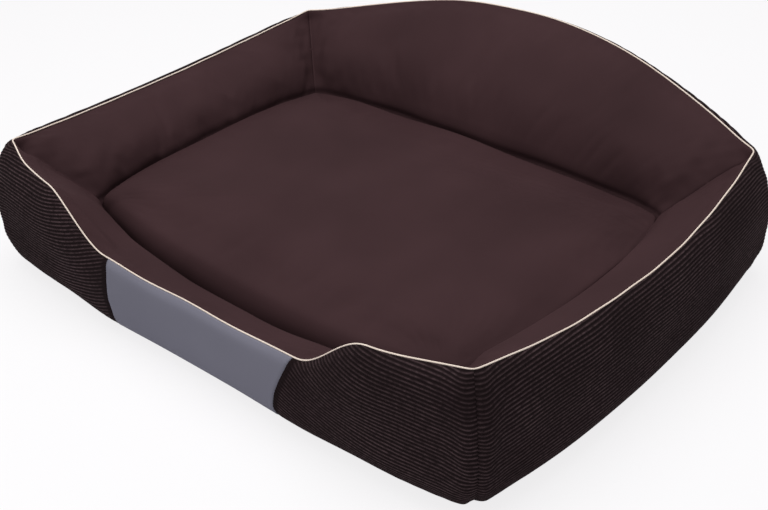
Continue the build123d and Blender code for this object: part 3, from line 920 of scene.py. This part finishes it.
def mattress():
    line, outward = mattress_edge()
    centre = np.array([0, (line[:, 1].min() + line[:, 1].max()) / 2])
    from_centre = line - centre
    depth = np.sum(from_centre * outward, 1)
    ways = np.stack([-outward[:, 1], outward[:, 1], -outward[:, 0], outward[:, 0]], -1)
    parts = np.maximum(0, ways) ** 2
    roll, fall = parts @ np.array(edge_rolls), parts @ np.array(edge_falls)
    bottom = base_thickness + lining_thickness + seam_gap
    bulged = back_crease_bow + well_back - mattress_gap

    def ring(inset, height):
        """The outline at one height, drawn in; behind, it stays in front of the zip's slider."""
        flat = centre + from_centre * (1 - inset / depth)[:, None]
        x, y = flat[:, 0], flat[:, 1]
        limit = rear_face + (bulged - rear_face) * smooth((height - 0.07) / 0.035)
        y = np.minimum(y, limit)
        across = smooth(0.5 + (window_half_length - np.abs(x)) / (2 * window_edge))
        inside = window_half_height - np.abs(height - zip_height)
        within = smooth(0.5 + inside / (2 * window_edge))
        y = y - window_depth * across * within * (y > rear_face - 0.003)
        return np.stack([x, y, height + 0 * x], -1)

    zero = np.zeros_like(roll)
    seam = cover_seam_depth
    rise = np.linspace(0, 1, 9)[1:]
    turn = np.linspace(0, np.pi / 2, 13)[1:]
    inward = 0.97 * np.linspace(0, 1, 76)[1:]

    def side(z):
        return ring(zero + seam * np.exp(-(((z - zip_height) / 0.002) ** 2)), zero + z)

    top = [side(z) for z in side_heights(zip_height, side_top, 12)]
    shoulder_level = mattress_edge_height - fall
    top += [ring(zero, side_top + s * (shoulder_level - side_top)) for s in rise]
    top += [ring(roll * (1 - np.cos(a)), shoulder_level + fall * np.sin(a)) for a in turn]
    top += [
        ring(roll + w * (depth - roll), mattress_edge_height + mattress_crown * (1 - (1 - w) ** 2))
        for w in inward
    ]
    low = bottom + mattress_bottom_roll
    under = [side(z) for z in side_heights(low, zip_height, 8)[::-1]]
    under += [
        ring(
            zero + mattress_bottom_roll * (1 - np.cos(a)),
            zero + low - mattress_bottom_roll * np.sin(a),
        )
        for a in turn[1::2]
    ]
    rest = depth - mattress_bottom_roll
    under += [ring(mattress_bottom_roll + w * rest, zero + bottom) for w in inward[::5]]
    top, under = np.stack(top), np.stack(under)
    top = rumpled(filled_out(top))
    covered = "mattress_top_cover", "mattress_core"
    for name, rings, cloth, slot, nodes in (
        ("mattress_top", top, inner_cloth, "inner_fabric", covered),
        ("mattress_bottom", under, lining_cloth, "lining_fabric", ("mattress_bottom_cover",)),
    ):
        faces = tube_faces(*rings.shape[:2])
        piece = make_piece(name, rings, faces, cloth, "mattress", nodes)


def filled_out(top):
    """The top of the mattress after its cover has swollen over the filling."""
    faces = tube_faces(*top.shape[:2])
    before, move = swollen(top, faces, lambda found: found[:, 2] < simulated_above, even=True)
    free = before[:, 2] > 0.1
    before, move = before[free], move[free]
    tree = KDTree(len(before))
    for i, point in enumerate(before):
        tree.insert(point, i)
    tree.balance()
    flat = top.reshape(-1, 3)
    shift = np.zeros_like(flat)
    for i in np.flatnonzero(flat[:, 2] > 0.1):
        near = tree.find_n(flat[i], 6)
        weights = np.array([1 / (found[2] + 0.002) ** 2 for found in near])
        shift[i] = weights @ move[[found[1] for found in near]] / weights.sum()
    shift = eased(shift.reshape(top.shape), 3)
    upper = smooth((top[..., 2] - swollen_above) / 0.014)
    return top + shift * np.array([0.3, 0.3, 1]) * upper[..., None]


def pulls(x, y, corner, count, phase):
    """Fine folds that run out of a corner over the cloth."""
    across, away = x - corner[0], y - corner[1]
    reach = np.hypot(across, away)
    turn = np.arctan2(away, across)
    bend = turn + 0.25 * np.sin(reach / 0.07)
    return np.cos(count * bend + phase) * np.exp(-reach / 0.11) * smooth(reach / 0.05)


def rumpled(points):
    """Gently uneven top, with small folds where its edge rolls over and where its corners pull."""
    normals = facing(grid_normals(points), np.array([0, 0, 1.0]))
    x, y, z = points[..., 0], points[..., 1], points[..., 2]
    upper = smooth((z - 0.08) / 0.04)
    edge = np.exp(-np.maximum(0, 0.146 - z) / 0.010) * np.exp(-np.maximum(0, z - 0.139) / 0.003)
    forward = smooth(-y / 0.2)
    relief = fold_height * (0.35 + 0.65 * forward) * edge * upper * waves(x, y * 0.3, 31, 0.05)
    relief += top_unevenness * upper * waves(x, y, 32, top_unevenness_length)
    half_x = np.abs(x).max()
    for corner, count, phase, share in (
        ((0.41, 0.28), 46, 0.4, 0.6),
        ((-0.41, 0.28), 40, 1.3, 0.3),
        ((-0.41, -0.29), 38, 2.2, 0.4),
        ((0.41, -0.29), 42, 0.9, 0.4),
    ):
        relief += corner_fold_height * share * upper * pulls(x, y, corner, count, phase)
    # long folds beside the back, which run into its right corner
    behind = well_back - y
    spread = np.exp(-(((behind - 0.055 - 0.12 * (0.40 - x)) / 0.045) ** 2))
    spread = spread * smooth((x + 0.02) / 0.2)
    spread *= smooth((half_x - x) / 0.06)
    phase = 2 * np.pi * (behind + 0.16 * x) / long_fold_pitch + 1.5 * np.sin(9 * x)
    relief += long_fold_height * upper * spread * np.sin(phase)
    return points + normals * relief[..., None]


mattress()


# Sole and lining


def flat_cloth(name, reach_of, level, thickness, material, node, relief):
    """Cloth on the floor of the bed, out to a line that follows the walls."""
    edge = []
    for wall, way in round_bed:
        t = way * np.linspace(-1, 1, 60)[:-1]
        rim, outward, corners, _ = wall.section(t)
        edge.append(rim[:, :2] + reach_of(corners)[:, None] * outward)
    edge = np.concatenate(edge)
    rings = np.linspace(0.02, 1, 60)
    flat = edge[None] * rings[:, None, None]
    swellings = relief * (1 - rings[:, None] ** 8) * waves(flat[..., 0], flat[..., 1], 41, 0.12)
    top = np.concatenate([flat, (level + thickness + swellings * 0.5)[..., None]], -1)
    bottom = np.concatenate([flat, (level + np.maximum(0, swellings) * 0.5)[..., None]], -1)
    rows, columns = flat.shape[:2]
    count = rows * columns
    outside = np.stack(
        [
            np.arange(columns) + count - columns,
            (np.arange(columns) + 1) % columns + count - columns,
            (np.arange(columns) + 1) % columns + 2 * count - columns,
            np.arange(columns) + 2 * count - columns,
        ],
        -1,
    )
    face = grid_faces(rows, columns, closed=True)
    centre = lidded(rows, columns)[: columns // 2 - 1]
    faces = np.concatenate([face, centre, face + count, centre + count, outside])
    points = np.concatenate([top.reshape(-1, 3), bottom.reshape(-1, 3)])
    make_piece(name, points, faces, material, "bed_body", (node,))


flat_cloth(
    "sole",
    lambda c: c[1][:, 0] - 0.001,
    0.0,
    base_thickness,
    sole_cloth,
    "base_panel",
    0.0006,
)
flat_cloth(
    "floor_lining",
    lambda c: c[0][:, 0] - lining_clearance,
    base_thickness + 0.0001,
    lining_thickness - 0.0003,
    lining_cloth,
    "well_lining",
    0.0002,
)


# Zip


def tape(name, node):
    low, high = (np.array(p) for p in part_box(node))
    x = np.linspace(low[0], high[0], 140)
    z = np.linspace(low[2], high[2], 8)
    thick = (high[1] - low[1]) / 2
    middle = (high[1] + low[1]) / 2
    edge = 1 - 0.35 * np.cos(np.linspace(0, 2 * np.pi, len(z)))
    ribbing = 1 - 0.12 * np.cos(2 * np.pi * x / tape_rib_pitch)
    bulk = 0.7 * thick * edge[None] * ribbing[:, None]
    gx, gz = np.meshgrid(x, z, indexing="ij")
    over = np.stack([gx, middle + bulk, gz], -1)
    under = np.stack([gx, middle - bulk, gz], -1)
    loop = np.concatenate([over, under[:, ::-1]], 1)
    faces = tube_faces(*loop.shape[:2])
    make_piece(name, loop, faces, tape_cloth, "mattress", (node,))


tape("zip_woven_tape_upper", "zip_tape_upper")
tape("zip_woven_tape_lower", "zip_tape_lower")
for names, material in (
    (("zip_teeth_upper", "zip_teeth_lower", "zip_stops"), teeth_plastic),
    (("zip_slider", "zip_pull"), slider_metal),
):
    for name in names:
        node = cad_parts[name]
        node.data.materials.clear()
        node.data.materials.append(material)


# Floor, light and camera


floor_size = 30
floor_glow_share = 0.82
lit_strength, seen_strength = 0.32, 1.0  # of the studio's white walls


def seen_straight(nodes, links):
    """1 for rays from the camera and for reflections, so that they see a white studio."""
    path = nodes.new("ShaderNodeLightPath")
    total = path.outputs["Is Camera Ray"]
    for name in ("Is Glossy Ray", "Is Transmission Ray"):
        most = nodes.new("ShaderNodeMath")
        most.operation = "MAXIMUM"
        links.new(total, most.inputs[0])
        links.new(path.outputs[name], most.inputs[1])
        total = most.outputs[0]
    return total


def stage():
    floor_material = bpy.data.materials.new("studio_floor")
    floor_material.use_nodes = True
    shader = floor_material.node_tree.nodes["Principled BSDF"]
    shader.inputs["Base Color"].default_value = (0.97, 0.965, 0.985, 1)
    shader.inputs["Roughness"].default_value = 0.9
    shader.inputs["Specular IOR Level"].default_value = 0.1
    # seen straight on, the floor is mostly a plain white, so the shadow on it stays faint
    nodes, links = floor_material.node_tree.nodes, floor_material.node_tree.links
    glow = nodes.new("ShaderNodeEmission")
    glow.inputs["Color"].default_value = (1, 0.99, 1, 1)
    share = nodes.new("ShaderNodeMath")
    share.operation = "MULTIPLY"
    share.inputs[1].default_value = floor_glow_share
    links.new(seen_straight(nodes, links), share.inputs[0])
    both = nodes.new("ShaderNodeMixShader")
    links.new(share.outputs[0], both.inputs[0])
    links.new(shader.outputs[0], both.inputs[1])
    links.new(glow.outputs[0], both.inputs[2])
    links.new(both.outputs[0], nodes["Material Output"].inputs["Surface"])
    bpy.ops.mesh.primitive_plane_add(size=floor_size, location=(0, 0, 0))
    floor = bpy.context.object
    floor.name = "studio_floor"
    floor.data.materials.append(floor_material)


def lamp(name, place, aim, size, power):
    data = bpy.data.lights.new(name, "AREA")
    data.shape = "RECTANGLE"
    data.size, data.size_y = size
    data.energy = power
    made = bpy.data.objects.new(name, data)
    bpy.context.scene.collection.objects.link(made)
    way = np.array(aim, float) - np.array(place, float)
    made.location = place
    made.rotation_euler = Vector(way).to_track_quat("-Z", "Y").to_euler()


stage()
lamp("overhead", (-0.1, -0.1, 2.6), (0, 0, 0), (2.4, 2.4), 56)
lamp("front", (0.3, -2.4, 1.9), (0, 0, 0.1), (1.8, 1.8), 7)

world = bpy.data.worlds.new("studio")
bpy.context.scene.world = world
world.use_nodes = True
nodes, links = world.node_tree.nodes, world.node_tree.links
background = nodes["Background"]
background.inputs["Color"].default_value = (1, 1, 1, 1)
strength = nodes.new("ShaderNodeMapRange")
strength.inputs["To Min"].default_value = lit_strength
strength.inputs["To Max"].default_value = seen_strength
links.new(seen_straight(nodes, links), strength.inputs["Value"])
links.new(strength.outputs["Result"], background.inputs["Strength"])

# The camera stands where the photograph was taken from, found from the bed's own lines
camera_scale = 0.00106
camera_azimuth = 42.73
camera_elevation = 32.94
camera_roll = -2.66
camera_distance = 1808.13 * camera_scale
camera_aim = (238.37 * camera_scale, -237.94 * camera_scale, corner_height)
focal_pixels = 1267.85
image_width = 768
sensor_width = 36

a, e, roll = np.radians([camera_azimuth, camera_elevation, camera_roll])
backward = np.array([np.sin(a) * np.cos(e), -np.cos(a) * np.cos(e), np.sin(e)])
rightward = np.array([np.cos(a), np.sin(a), 0])
upward = np.cross(backward, rightward)
turned_right = np.cos(roll) * rightward + np.sin(roll) * upward
turned_up = -np.sin(roll) * rightward + np.cos(roll) * upward
place = np.array(camera_aim) + backward * camera_distance

camera_data = bpy.data.cameras.new("camera")
camera_data.sensor_fit = "HORIZONTAL"
camera_data.sensor_width = sensor_width
camera_data.lens = focal_pixels * sensor_width / image_width
camera = bpy.data.objects.new("camera", camera_data)
bpy.context.scene.collection.objects.link(camera)
columns = [*zip(turned_right, turned_up, backward, place), (0, 0, 0, 1)]
camera.matrix_world = Matrix(columns)
bpy.context.scene.camera = camera
bpy.context.scene.view_settings.view_transform = "Standard"
